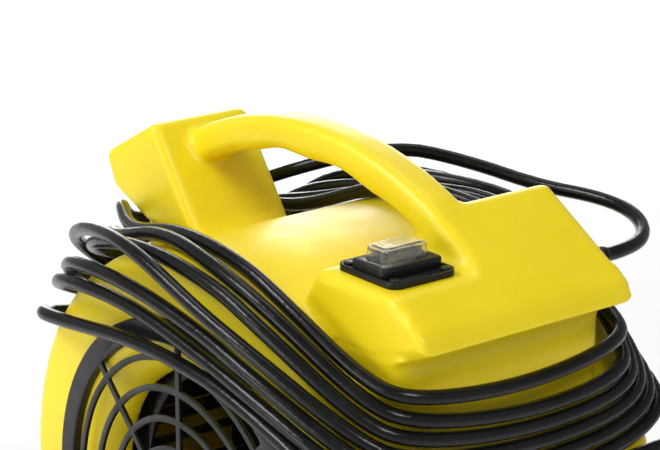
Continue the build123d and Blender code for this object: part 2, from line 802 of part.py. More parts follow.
with BuildPart() as foot_screws:
    head_top = foot_screw_recess + foot_screw_head
    with BuildSketch(Plane.XY.offset(foot_screw_recess)):
        with Locations(*foot_places):
            Circle(foot_screw_head_radius)
    extrude(amount=foot_screw_head)
    with BuildSketch(Plane.XY.offset(head_top)):
        with Locations(*foot_places):
            Circle(foot_screw_radius)
    extrude(amount=foot_height - head_top + screw_grip)
foot_screws.part.label = "foot_screws"
export_step(foot_screws.part, "parts/foot_screws.step")

# Switch set on the pad: plate, body, frame, clear boot and rocker
pad_z = axis_height + pad_rise
plate_top_z = pad_z + plate_thick
lip_top_z = plate_top_z + body_lip
body_x = switch_hole_x - 2 * fit_clearance
body_y = switch_hole_y - 2 * fit_clearance
lip_x = body_x + 2 * body_lip_overhang
lip_y = body_y + 2 * body_lip_overhang
well_x = body_x - 2 * body_wall
well_y = body_y - 2 * body_wall
boot_x = well_x + 2 * (boot_wall + fit_clearance)
boot_y = well_y + 2 * (boot_wall + fit_clearance)
frame_x = lip_x + 2 * (frame_wall + fit_clearance)
frame_y = lip_y + 2 * (frame_wall + fit_clearance)


def switch_plane(z):
    """Level plane over the middle of the switch."""
    return Plane.XY.offset(z).move(Location((switch_x, switch_y, 0)))


with BuildPart() as switch_plate:
    with BuildSketch(switch_plane(pad_z)):
        RectangleRounded(plate_length, plate_width, plate_corner)
    extrude(amount=plate_thick + plate_lip_height)
    with BuildSketch(switch_plane(plate_top_z)):
        RectangleRounded(plate_length - 2 * plate_lip, plate_width - 2 * plate_lip, plate_corner - plate_lip)
    extrude(amount=plate_lip_height, mode=Mode.SUBTRACT)
    with BuildSketch(switch_plane(pad_z)):
        Rectangle(switch_hole_x, switch_hole_y)
        with GridLocations(plate_screws_x, plate_screws_y, 2, 2):
            Circle(screw_hole_radius)
    extrude(amount=plate_thick, mode=Mode.SUBTRACT)
switch_plate.part.label = "switch_plate"
export_step(switch_plate.part, "parts/switch_plate.step")

with BuildPart() as plate_screws:
    with BuildSketch(switch_plane(plate_top_z)):
        with GridLocations(plate_screws_x, plate_screws_y, 2, 2):
            Circle(plate_screw_head_radius)
    extrude(amount=screw_head_height)
    with BuildSketch(switch_plane(plate_top_z)):
        with GridLocations(plate_screws_x, plate_screws_y, 2, 2):
            Circle(screw_radius)
    extrude(amount=-plate_thick - screw_grip)
plate_screws.part.label = "switch_screws"
export_step(plate_screws.part, "parts/switch_screws.step")

pivot_z = lip_top_z - pivot_drop
with BuildPart() as switch_body:
    with BuildSketch(switch_plane(pad_z - body_depth)):
        Rectangle(body_x, body_y)
    extrude(amount=body_depth + plate_thick)
    with BuildSketch(switch_plane(plate_top_z)):
        RectangleRounded(lip_x, lip_y, body_corner)
    extrude(amount=body_lip)
    with BuildSketch(switch_plane(lip_top_z)):
        Rectangle(well_x, well_y)
    extrude(amount=-body_depth, mode=Mode.SUBTRACT)
    with BuildSketch(Plane.YZ.offset(switch_x - body_x / 2 - body_lip_overhang)):
        with Locations((switch_y, pivot_z)):
            Circle(pin_radius)
    extrude(amount=2 * lip_x, mode=Mode.SUBTRACT)
switch_body.part.label = "switch_body"
export_step(switch_body.part, "parts/switch_body.step")

with BuildPart() as switch_terminals:
    with BuildSketch(switch_plane(pad_z - body_depth)):
        with GridLocations(body_x / 2, body_y / 2, 2, 2):
            Rectangle(terminal_thickness, terminal_width)
    extrude(amount=-terminal_length)
switch_terminals.part.label = "switch_terminals"
export_step(switch_terminals.part, "parts/switch_terminals.step")

with BuildPart() as switch_frame:
    with BuildSketch(switch_plane(plate_top_z)):
        RectangleRounded(frame_x, frame_y, frame_corner)
    extrude(amount=frame_height)
    chamfer(switch_frame.edges().group_by(Axis.Z)[-1], length=frame_chamfer)
    with BuildSketch(switch_plane(plate_top_z)):
        Rectangle(lip_x + 2 * fit_clearance, lip_y + 2 * fit_clearance)
    extrude(amount=body_lip + fit_clearance, mode=Mode.SUBTRACT)
    with BuildSketch(switch_plane(plate_top_z)):
        RectangleRounded(boot_x + 2 * fit_clearance, boot_y + 2 * fit_clearance, boot_round)
    extrude(amount=frame_height, mode=Mode.SUBTRACT)
switch_frame.part.label = "switch_frame"
export_step(switch_frame.part, "parts/switch_frame.step")

with BuildPart() as switch_boot:
    with BuildSketch(switch_plane(lip_top_z)):
        RectangleRounded(boot_x, boot_y, boot_round)
    extrude(amount=boot_height)
    fillet(switch_boot.edges().group_by(Axis.Z)[-1], radius=boot_round - boot_wall)
    with BuildSketch(switch_plane(lip_top_z)):
        RectangleRounded(boot_x - 2 * boot_wall, boot_y - 2 * boot_wall, boot_round - boot_wall)
    extrude(amount=boot_height - boot_wall, mode=Mode.SUBTRACT)
switch_boot.part.label = "switch_boot"
export_step(switch_boot.part, "parts/switch_boot.step")

# Rocker, at rest tipped to its off side
tilt = radians(rocker_tilt)
rocker_plane = Plane((switch_x, switch_y, pivot_z), x_dir=(0, cos(tilt), sin(tilt)), z_dir=(1, 0, 0))
rocker_width = well_x - 2 * rocker_gap
rocker_half = well_y / 2 - rocker_gap - rocker_end_gap
with BuildPart() as switch_rocker:
    with BuildSketch(rocker_plane.offset(-rocker_width / 2)):
        with BuildLine():
            crown = ThreePointArc(
                (-rocker_half, rocker_height), (0, rocker_height - rocker_dip), (rocker_half, rocker_height))
            Polyline(crown @ 1, (rocker_half, 0), (0, -rocker_height), (-rocker_half, 0), crown @ 0)
        make_face()
        Circle(pin_radius + running_clearance, mode=Mode.SUBTRACT)
    extrude(amount=rocker_width)
switch_rocker.part.label = "switch_rocker"
export_step(switch_rocker.part, "parts/switch_rocker.step")

with BuildPart() as rocker_pin:
    with BuildSketch(Plane.YZ.offset(switch_x - body_x / 2)):
        with Locations((switch_y, pivot_z)):
            Circle(pin_radius)
    extrude(amount=body_x)
rocker_pin.part.label = "rocker_pin"
export_step(rocker_pin.part, "parts/rocker_pin.step")

# Cord gland on the far side of the front wedge, with a tapered strain relief
gland_z = axis_height + gland_rise
gland_axis = Axis((gland_x, 0, gland_z), (0, 1, 0))
gland_tip_y = front_half_width + gland_flange + gland_length
with BuildPart() as cord_gland:
    with BuildSketch(Plane.XY.offset(gland_z)):
        with BuildLine():
            Polyline(
                (gland_x + cord_radius + seat_clearance, front_half_width - gland_stem),
                (gland_x + gland_stem_radius, front_half_width - gland_stem),
                (gland_x + gland_stem_radius, front_half_width),
                (gland_x + gland_flange_radius, front_half_width),
                (gland_x + gland_flange_radius, front_half_width + gland_flange),
                (gland_x + gland_root_radius, front_half_width + gland_flange),
                (gland_x + gland_tip_radius, gland_tip_y),
                (gland_x + cord_radius + seat_clearance, gland_tip_y),
                close=True)
        make_face()
    revolve(axis=gland_axis)
cord_gland.part.label = "cord_gland"
export_step(cord_gland.part, "parts/cord_gland.step")

with BuildPart() as supply_lead:
    supply_end_y = switch_y + plate_width / 2 - fit_clearance
    with BuildSketch(side_plane(1, supply_end_y)):
        with Locations((gland_x, gland_z)):
            Circle(cord_radius)
    extrude(amount=-(gland_tip_y - supply_end_y))
supply_lead.part.label = "supply_lead"
export_step(supply_lead.part, "parts/supply_lead.step")


def drape(length, start_y, top):
    """Where a strand lies: along the top of the scroll, over its rim and down its side."""
    edge_y = half_width - rim_round
    past = length - (edge_y - start_y)
    angle = past / drape_radius
    if past <= 0:
        return start_y + length, top
    if angle <= pi / 2:
        return edge_y + drape_radius * sin(angle), top - drape_radius * (1 - cos(angle))
    return edge_y + drape_radius, top - drape_radius - (past - drape_radius * pi / 2)


# Where the strands cross the top of the scroll: x, first strand's y and rise, and step to the next strand
near_drapes = [(-118, 86, 176, 15), (-40, 98, 199, 15.5), (40, 104, 198, 15), (95, 103, 180, 14)]
far_drapes = [(90, 100, 183, 15), (42, 80, 199, 14.8), (-20, 58, 201, 13.2), (-120, 52, 172, 11.8)]


def stations(slot):
    """Places that a strand in this slot passes, from the rear neck round the near side."""
    rear_half = rear_neck_half_width + 7
    front_half = front_neck_half_width
    places = [
        (rear_neck_x + 10, rear_half + 8 + 7.2 * slot, 165 - 9.4 * slot),
        (rear_neck_x - 3, rear_half, 158 - 11.6 * slot),
        (rear_neck_x - 9, 0, 156 - 11.6 * slot),
        (rear_neck_x - 3, -rear_half, 158 - 11.6 * slot),
        (rear_neck_x + 14, -rear_half - 16 - 11.8 * slot, 169 - 8.4 * slot)]
    for x, start_y, top, pitch in near_drapes:
        y, z = drape(pitch * slot, start_y, top)
        places.append((x, -y, z))
    places += [
        (front_neck_x - 25 + 3.8 * slot, -front_half - 14 - 6.6 * slot, 157 - 9.6 * slot),
        (front_neck_x + 11 + 0.7 * slot, -front_half - 2.5 * slot, 149 - 12 * slot),
        (front_neck_x + 18, 0, 138 - 12 * slot),
        (front_neck_x + 11 + 0.7 * slot, front_half + 2.5 * slot, 141 - 12 * slot),
        (front_neck_x - 22 + 3.8 * slot, front_half + 15 + 7.2 * slot, 153 - 10.2 * slot)]
    for x, start_y, top, pitch in far_drapes:
        y, z = drape(pitch * slot, start_y, top)
        places.append((x, y, z))
    return [Vector(x, y, axis_height + z) for x, y, z in places]


# Free stretch from the gland to the first turn, and from the last turn to the plug
lead_route = [
    Vector(gland_x, gland_tip_y, gland_z),
    Vector(140, 147, axis_height + 184),
    Vector(126, 172, axis_height + 187),
    Vector(100, 186, axis_height + 192),
    Vector(66, 186, axis_height + 199),
    Vector(18, 171, axis_height + 206),
    Vector(-35, 149, axis_height + 208),
    Vector(-82, 123, axis_height + 204)]
station_count = len(stations(0))
turn_points = [
    stations(turn + place / station_count)[place]
    for turn in range(cord_turns)
    for place in range(station_count)]
turn_points = turn_points[:end_station - station_count]
start_run = (lead_route[-1] - lead_route[-2]).normalized() * 2 * cord_radius
winding_points = [lead_route[-1] + start_run] + turn_points
end_run = (winding_points[-1] - winding_points[-2]).normalized() * 2 * cord_radius
winding_end = winding_points[-1] + end_run
tail_bend = winding_end + end_run * 2.55
tail_route = [
    winding_end,
    tail_bend,
    tail_bend + Vector(0, 22.3, -12.8),
    tail_bend + Vector(0, 35, -35.5),
    tail_bend + Vector(0, 37, -61.2)]


def tangents(points, first, last):
    """Direction of a smooth line through the points, given at its two ends."""
    inner = [(points[i + 1] - points[i - 1]).normalized() for i in range(1, len(points) - 1)]
    return [first.normalized()] + inner + [last.normalized()]


def biarc_joint(p0, t0, p1, t1):
    """Point where two tangent arcs that join p0 and p1 meet."""
    chord = p1 - p0
    total = chord.dot(t0 + t1)
    spread = 2 * (1 - t0.dot(t1))
    reach = (sqrt(total ** 2 + spread * chord.dot(chord)) - total) / spread
    return (p0 + p1 + (t0 - t1) * reach) * 0.5


def fillet_radii(route):
    """Largest even bends of a free stretch: each takes its share of the shorter run."""
    radii = []
    for before, corner, after in zip(route, route[1:], route[2:]):
        turn = radians((corner - before).get_angle(after - corner))
        run = min((corner - before).length, (after - corner).length)
        radii.append(bend_share * run / tan(turn / 2))
    return radii


for name, route in (("cord_lead", lead_route), ("cord_tail", tail_route)):
    radii = fillet_radii(route)
    print(name, "bend radii", [round(radius, 1) for radius in radii])
    with BuildPart() as stretch:
        with BuildLine():
            FilletPolyline(*route, radius=radii)
        with BuildSketch(Plane(route[0], z_dir=route[1] - route[0])):
            Circle(cord_radius)
        sweep()
    stretch.part.label = name
    export_step(stretch.part, f"parts/{name}.step")

winding_tangents = tangents(winding_points, start_run, end_run)
winding_samples = []
with BuildPart() as cord_winding:
    with BuildLine() as winding_path:
        Line(lead_route[-1], winding_points[0])
        for i in range(len(winding_points) - 1):
            start, end = winding_points[i:i + 2]
            joint = biarc_joint(start, winding_tangents[i], end, winding_tangents[i + 1])
            arc_in = TangentArc(start, joint, tangent=winding_tangents[i])
            arc_out = TangentArc(joint, end, tangent=arc_in % 1)
            for arc in (arc_in, arc_out):
                winding_samples += [arc @ (step / arc_samples) for step in range(arc_samples)]
        Line(winding_points[-1], winding_end)
    with BuildSketch(Plane(lead_route[-1], z_dir=start_run)):
        Circle(cord_radius)
    sweep()
cord_winding.part.label = "cord_winding"
export_step(cord_winding.part, "parts/cord_winding.step")


def least_gap(samples):
    """Smallest clear space between strands of the winding, on points along its middle."""
    half_turn = len(samples) // (2 * cord_turns)
    least = min(
        (a - b).length
        for i, a in enumerate(samples)
        for b in samples[i + half_turn::2])
    return least - 2 * cord_radius


winding_length = sum(edge.length for edge in winding_path.edges())
print("cord_winding length", round(winding_length, 1), "least gap", round(least_gap(winding_samples), 2),
      "volume share", round(cord_winding.part.volume / (winding_length * pi * cord_radius ** 2), 4))

# Plug hanging on the end of the tail
plug_top = tail_route[-1]
plug_way = (tail_route[-1] - tail_route[-2]).normalized()
plug_plane = Plane(plug_top, x_dir=(1, 0, 0), z_dir=plug_way)
with BuildPart() as plug_body:
    with BuildSketch(plug_plane):
        Circle(plug_tail_radius)
    with BuildSketch(plug_plane.offset(plug_taper_length)):
        Circle(plug_grip_radius)
    with BuildSketch(plug_plane.offset(plug_flare_length)):
        Circle(plug_face_radius)
    with BuildSketch(plug_plane.offset(plug_length)):
        Circle(plug_face_radius)
    loft(ruled=True)
plug_body.part.label = "plug_body"
export_step(plug_body.part, "parts/plug_body.step")

with BuildPart() as plug_pins:
    with BuildSketch(plug_plane.offset(plug_length)):
        with GridLocations(plug_pin_spacing, 0, 2, 1):
            Circle(plug_pin_radius)
    extrude(amount=pin_length)
plug_pins.part.label = "plug_pins"
export_step(plug_pins.part, "parts/plug_pins.step")
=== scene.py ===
"""Carpet drying blower: the looks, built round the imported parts."""
import math

import bmesh
import bpy
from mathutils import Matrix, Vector


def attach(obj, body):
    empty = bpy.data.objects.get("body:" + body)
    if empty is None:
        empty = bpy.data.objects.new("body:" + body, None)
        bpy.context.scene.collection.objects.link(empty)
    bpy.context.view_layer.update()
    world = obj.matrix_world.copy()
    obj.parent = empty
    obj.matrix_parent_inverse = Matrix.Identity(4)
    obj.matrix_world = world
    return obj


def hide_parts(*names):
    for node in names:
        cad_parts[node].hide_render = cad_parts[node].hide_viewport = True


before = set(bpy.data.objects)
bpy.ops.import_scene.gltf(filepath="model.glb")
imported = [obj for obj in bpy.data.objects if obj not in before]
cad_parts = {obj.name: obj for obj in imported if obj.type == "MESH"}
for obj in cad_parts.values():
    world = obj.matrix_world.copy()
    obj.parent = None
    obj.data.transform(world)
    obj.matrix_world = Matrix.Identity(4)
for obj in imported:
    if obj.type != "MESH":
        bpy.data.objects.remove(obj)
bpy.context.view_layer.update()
MM = 0.001
AXIS_HEIGHT = 220.0

# Materials


def noise(nodes, links, place, scale, detail=3.0):
    """Soft noise over the object, as a grey value."""
    node = nodes.new("ShaderNodeTexNoise")
    node.inputs["Scale"].default_value = scale
    node.inputs["Detail"].default_value = detail
    links.new(place, node.inputs["Vector"])
    return node.outputs["Fac"]


def surface(name, tones, rough, patch=14.0, grains=((1200.0, 0.00004),), sockets=None):
    """Material whose colour and gloss drift in soft patches, with layers of fine grain in its relief."""
    material = bpy.data.materials.new(name)
    material.use_nodes = True
    nodes = material.node_tree.nodes
    links = material.node_tree.links
    shader = nodes["Principled BSDF"]
    place = nodes.new("ShaderNodeTexCoord").outputs["Object"]
    ramp = nodes.new("ShaderNodeValToRGB")
    for element, position, tone in zip(ramp.color_ramp.elements, (0.36, 0.64), tones):
        element.position = position
        element.color = (*tone, 1.0)
    links.new(noise(nodes, links, place, patch), ramp.inputs["Fac"])
    links.new(ramp.outputs["Color"], shader.inputs["Base Color"])
    gloss = nodes.new("ShaderNodeMapRange")
    gloss.inputs["From Min"].default_value = 0.3
    gloss.inputs["From Max"].default_value = 0.7
    gloss.inputs["To Min"].default_value = rough[0]
    gloss.inputs["To Max"].default_value = rough[1]
    links.new(noise(nodes, links, place, patch * 3.7), gloss.inputs["Value"])
    links.new(gloss.outputs["Result"], shader.inputs["Roughness"])
    relief = None
    for scale, depth in grains:
        bump = nodes.new("ShaderNodeBump")
        bump.inputs["Distance"].default_value = depth
        links.new(noise(nodes, links, place, scale), bump.inputs["Height"])
        if relief:
            links.new(relief, bump.inputs["Normal"])
        relief = bump.outputs["Normal"]
    links.new(relief, shader.inputs["Normal"])
    for socket, value in (sockets or {}).items():
        shader.inputs[socket].default_value = value
    return material


yellow = surface(
    "yellow_polyethylene", ((0.86, 0.66, 0.006), (0.90, 0.715, 0.010)), (0.32, 0.44), 9.0,
    ((18.0, 0.0012), (520.0, 0.00016), (1500.0, 0.00003)),
    {"Specular IOR Level": 0.42})
black = surface(
    "black_moulding", ((0.005, 0.0055, 0.005), (0.010, 0.011, 0.010)), (0.30, 0.44), 22.0,
    ((700.0, 0.00006), (2400.0, 0.00003)),
    {"Specular IOR Level": 0.3})
rubber = surface(
    "cord_rubber", ((0.004, 0.0045, 0.004), (0.008, 0.009, 0.008)), (0.17, 0.26), 26.0,
    ((160.0, 0.0003), (1800.0, 0.00004)),
    {"Specular IOR Level": 0.26})
foot_rubber = surface(
    "foot_rubber", ((0.012, 0.012, 0.012), (0.024, 0.024, 0.023)), (0.6, 0.78), 40.0, ((1500.0, 0.00008),))
zinc = surface(
    "zinc_plate", ((0.40, 0.40, 0.38), (0.56, 0.56, 0.54)), (0.26, 0.42), 60.0, ((2600.0, 0.00003),),
    {"Metallic": 1.0})
motor_paint = surface(
    "motor_paint", ((0.016, 0.016, 0.018), (0.024, 0.024, 0.026)), (0.38, 0.52), 30.0, ((900.0, 0.00007),))
aluminium = surface(
    "cast_aluminium", ((0.44, 0.44, 0.44), (0.58, 0.58, 0.57)), (0.42, 0.58), 45.0, ((1100.0, 0.0001),),
    {"Metallic": 1.0})
core_steel = surface(
    "core_steel", ((0.16, 0.16, 0.16), (0.26, 0.26, 0.26)), (0.4, 0.55), 60.0, ((2200.0, 0.00006),),
    {"Metallic": 1.0})
copper = surface(
    "varnished_copper", ((0.30, 0.09, 0.03), (0.42, 0.15, 0.05)), (0.3, 0.45), 70.0, ((900.0, 0.0002),),
    {"Metallic": 1.0})
pale_case = surface(
    "capacitor_case", ((0.62, 0.62, 0.58), (0.70, 0.70, 0.66)), (0.35, 0.48), 30.0, ((1300.0, 0.00004),))
brass = surface(
    "bare_brass", ((0.58, 0.42, 0.15), (0.70, 0.52, 0.20)), (0.22, 0.36), 80.0, ((2600.0, 0.00003),),
    {"Metallic": 1.0})
rocker_black = surface(
    "rocker_black", ((0.011, 0.011, 0.012), (0.016, 0.016, 0.017)), (0.22, 0.32), 60.0, ((1900.0, 0.00003),))
clear = surface(
    "clear_boot", ((0.93, 0.93, 0.88), (0.97, 0.97, 0.94)), (0.05, 0.12), 60.0,
    ((200.0, 0.00025), (1500.0, 0.00002)),
    {"Transmission Weight": 0.95, "IOR": 1.43, "Specular IOR Level": 0.6})

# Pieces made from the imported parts


def link(name, mesh, material, body, *nodes):
    """Object for a mesh, riding on a body and standing for its nodes."""
    piece = bpy.data.objects.new(name, mesh)
    bpy.context.scene.collection.objects.link(piece)
    mesh.materials.clear()
    mesh.materials.append(material)
    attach(piece, body)
    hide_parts(*nodes)
    return piece


def merged(node):
    """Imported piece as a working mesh, with its split corners joined and flat facets made whole."""
    shape = bmesh.new()
    shape.from_mesh(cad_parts[node].data)
    bmesh.ops.remove_doubles(shape, verts=shape.verts, dist=0.02 * MM)
    bmesh.ops.dissolve_limit(shape, angle_limit=math.radians(0.5), verts=shape.verts, edges=shape.edges)
    return shape


def to_mesh(shape, name):
    """Smooth-shaded mesh of a working shape."""
    mesh = bpy.data.meshes.new(name)
    shape.to_mesh(mesh)
    shape.free()
    mesh.polygons.foreach_set("use_smooth", [True] * len(mesh.polygons))
    return mesh


def applied(piece):
    """The piece's mesh with its modifiers worked in, which then go."""
    depsgraph = bpy.context.evaluated_depsgraph_get()
    mesh = bpy.data.meshes.new_from_object(piece.evaluated_get(depsgraph))
    piece.modifiers.clear()
    piece.data = mesh
    return mesh


def dressed(node, material, ease, body="blower", segments=2):
    """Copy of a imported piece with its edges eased, standing for it."""
    piece = link(node + "_look", to_mesh(merged(node), node + "_look"), material, body, node)
    bevel = piece.modifiers.new("eased_edges", "BEVEL")
    bevel.width = ease * MM
    bevel.segments = segments
    bevel.limit_method = "ANGLE"
    bevel.angle_limit = math.radians(38)
    bevel.harden_normals = True
    return piece


def moulded(node, material, voxel, rounds, body="blower"):
    """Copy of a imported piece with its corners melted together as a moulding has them, standing for it."""
    piece = link(node + "_look", to_mesh(merged(node), node + "_look"), material, body, node)
    remesh = piece.modifiers.new("skin", "REMESH")
    remesh.mode = "VOXEL"
    remesh.voxel_size = voxel * MM
    smooth = piece.modifiers.new("melt", "SMOOTH")
    smooth.factor = 0.5
    smooth.iterations = rounds
    mesh = applied(piece)
    mesh.polygons.foreach_set("use_smooth", [True] * len(mesh.polygons))
    return piece


housing = moulded("housing", yellow, 3.0, 3)
moulded("switch_boot", clear, 0.7, 4)

# Shallow finger waves along the underside of the handle, about the middle of its arch
HANDLE_TOP_X = -14.0
HANDLE_CENTRE_Z = 173.3
GRIP_HALF_WIDTH = 17
GRIP_INNER, GRIP_OUTER = 282, 296
GRIP_REAR_X, GRIP_FRONT_X = -90, 80
WAVE_FADE = 20
WAVE_START_X = -18
WAVE_LENGTH = 70
WAVE_HEIGHT = 1.3
for vertex in housing.data.vertices:
    x, y, z = vertex.co / MM
    reach = math.hypot(x - HANDLE_TOP_X, z - HANDLE_CENTRE_Z)
    if abs(y) < GRIP_HALF_WIDTH and GRIP_INNER < reach < GRIP_OUTER and GRIP_REAR_X < x < GRIP_FRONT_X:
        share = min(1.0, (GRIP_OUTER - reach) / 8)
        share *= min(1.0, (x - GRIP_REAR_X) / WAVE_FADE, (GRIP_FRONT_X - x) / WAVE_FADE)
        wave = math.cos(2 * math.pi * (x - WAVE_START_X) / WAVE_LENGTH)
        vertex.co.z -= WAVE_HEIGHT * share * wave * MM

# Nose of the front wedge: its lower edge comes forward, so that the slanted face turns down softly
NOSE = Vector((196.8, 187.0))
NOSE_UNDER = Vector((188.5, 170.0))
NOSE_FORWARD = Vector((12.0, 4.8))
NOSE_SOFTNESS = 15.0
SOFTENING_ROUNDS = 14
WEDGE_LOW_RISE = 150.0
FRONT_NECK_X = 178.0
SLANT_NORMAL = Vector((0.5142, 0.8577))
nose_drop = SLANT_NORMAL.dot(NOSE - NOSE_UNDER)
shell = bmesh.new()
shell.from_mesh(housing.data)
soft_verts = []
for vert in shell.verts:
    spot = Vector((vert.co.x / MM, vert.co.z / MM - AXIS_HEIGHT))
    if spot.x > FRONT_NECK_X and spot.y > WEDGE_LOW_RISE:
        below = SLANT_NORMAL.dot(NOSE - spot) / nose_drop
        ahead = (spot.x - FRONT_NECK_X) / (NOSE_UNDER.x - FRONT_NECK_X)
        move = NOSE_FORWARD * max(0.0, min(1.0, below, ahead))
        vert.co += Vector((move.x, 0.0, move.y)) * MM
    if (spot - NOSE).length < NOSE_SOFTNESS:
        soft_verts.append(vert)
for _ in range(SOFTENING_ROUNDS):
    bmesh.ops.smooth_vert(
        shell, verts=soft_verts, factor=0.5, use_axis_x=True, use_axis_y=False, use_axis_z=True)

# Near side of the neck, drawn out flush with the wedge above it
FRONT_HALF = 84.0
NECK_CORNER = 14
NECK_SIDE_FLARE = 5.5
WEDGE_SIDE_Y = -89.6
FLARE_REAR_X = 90
FLARE_LOW, FLARE_TOP = 118, 168
for vert in shell.verts:
    x, y, rise = vert.co.x / MM, vert.co.y / MM, vert.co.z / MM - AXIS_HEIGHT
    inside = NECK_CORNER - FRONT_HALF - y
    if inside > 0 and FLARE_REAR_X < x < FRONT_NECK_X + 1 and FLARE_LOW < rise < FLARE_TOP:
        share = min(1.0, (rise - FLARE_LOW) / 44) * min(1.0, (x - FLARE_REAR_X) / 30) * min(1.0, inside / 12)
        flared = max(vert.co.y - NECK_SIDE_FLARE * share * MM, WEDGE_SIDE_Y * MM)
        vert.co.y = min(vert.co.y, flared)
shell.to_mesh(housing.data)
shell.free()

# Fewer faces where the moulding is flat
THIN_SHARE = 0.6
thin = housing.modifiers.new("thin_flats", "DECIMATE")
thin.ratio = THIN_SHARE
housing_mesh = applied(housing)
housing_mesh.polygons.foreach_set("use_smooth", [True] * len(housing_mesh.polygons))

for node, ease in (
        ("inlet_grille_near", 0.9), ("inlet_grille_far", 0.9), ("outlet_grille", 0.9),
        ("switch_plate", 0.6), ("switch_body", 0.5), ("switch_frame", 0.8)):
    dressed(node, black, ease)
dressed("switch_rocker", rocker_black, 0.5, "rocker")
dressed("impeller", black, 0.3, "fan", 1)
dressed("impeller_hub", black, 0.6, "fan")
dressed("rubber_feet", foot_rubber, 0.8)
dressed("motor_shell", motor_paint, 0.6)
for node in ("motor_drive_cap", "motor_rear_cap"):
    dressed(node, aluminium, 0.8)
for node in (
        "grille_screws_near", "grille_screws_far", "foot_screws", "bracket_bolts", "motor_bolts",
        "motor_cap_screws", "rocker_pin", "capacitor_clip", "motor_bracket",
        "motor_bearing_drive", "motor_bearing_rear"):
    dressed(node, zinc, 0.3)
for node in ("hub_set_screw", "hub_rivets", "motor_shaft"):
    dressed(node, zinc, 0.3, "fan")
dressed("rotor_core", core_steel, 0.3, "fan")
dressed("stator_core", core_steel, 0.3)
dressed("stator_windings", copper, 1.5)
dressed("switch_screws", black, 0.3)
dressed("run_capacitor", pale_case, 0.8)
dressed("switch_terminals", brass, 0.2)
dressed("supply_lead", rubber, 0.3)

# Cord: lead, seven turns round the two necks, tail and plug

CORD_RADIUS = 5.0
TURNS = 7
STATIONS = 18
END_STATION = 13
REAR_NECK_X = -186.0
REAR_HALF = 44.0
EDGE_Y = 116.0
DRAPE_RADIUS = 28.0


def drape(length, start_y, top):
    """Where a strand lies: along the top of the scroll, over its rim and down its side."""
    past = length - (EDGE_Y - start_y)
    angle = past / DRAPE_RADIUS
    if past <= 0:
        return start_y + length, top
    if angle <= math.pi / 2:
        return EDGE_Y + DRAPE_RADIUS * math.sin(angle), top - DRAPE_RADIUS * (1 - math.cos(angle))
    return EDGE_Y + DRAPE_RADIUS, top - DRAPE_RADIUS - (past - DRAPE_RADIUS * math.pi / 2)


def stations(slot):
    """Places that a strand in this slot passes, from the rear neck round the near side."""
    places = [
        (REAR_NECK_X + 10, REAR_HALF + 8 + 7.2 * slot, 165 - 9.4 * slot),
        (REAR_NECK_X - 3, REAR_HALF, 158 - 11.6 * slot),
        (REAR_NECK_X - 9, 0, 156 - 11.6 * slot),
        (REAR_NECK_X - 3, -REAR_HALF, 158 - 11.6 * slot),
        (REAR_NECK_X + 14, -REAR_HALF - 16 - 11.8 * slot, 169 - 8.4 * slot)]
    for x, start_y, top, pitch in (
            (-118, 86, 176, 15), (-40, 98, 199, 15.5), (40, 104, 198, 15), (95, 103, 180, 14)):
        y, z = drape(pitch * slot, start_y, top)
        places.append((x, -y, z))
    places += [
        (FRONT_NECK_X - 25 + 3.8 * slot, -FRONT_HALF - 14 - 6.6 * slot, 157 - 9.6 * slot),
        (FRONT_NECK_X + 11 + 0.7 * slot, -FRONT_HALF - 2.5 * slot, 149 - 12 * slot),
        (FRONT_NECK_X + 18, 0, 138 - 12 * slot),
        (FRONT_NECK_X + 11 + 0.7 * slot, FRONT_HALF + 2.5 * slot, 141 - 12 * slot),
        (FRONT_NECK_X - 22 + 3.8 * slot, FRONT_HALF + 15 + 7.2 * slot, 153 - 10.2 * slot)]
    for x, start_y, top, pitch in (
            (90, 100, 183, 15), (42, 80, 199, 14.8), (-20, 58, 201, 13.2), (-120, 52, 172, 11.8)):
        y, z = drape(pitch * slot, start_y, top)
        places.append((x, y, z))
    return [Vector(place) for place in places]


lead = [Vector(place) for place in (
    (140, 120, 184), (140, 147, 184), (126, 172, 187), (100, 186, 192),
    (66, 186, 195), (18, 171, 195), (-35, 149.8, 205), (-82, 114.3, 214))]
turns = [
    stations(turn + place / STATIONS)[place] for turn in range(TURNS) for place in range(STATIONS)]
turns = turns[:END_STATION - STATIONS]
end_run = (turns[-1] - turns[-2]).normalized() * 2 * CORD_RADIUS
turn_end = turns[-1] + end_run * 3.55
tail = [
    turn_end, turn_end + Vector((0, 22.3, -12.8)), turn_end + Vector((0, 35, -35.5)),
    turn_end + Vector((0, 37, -61.2))]

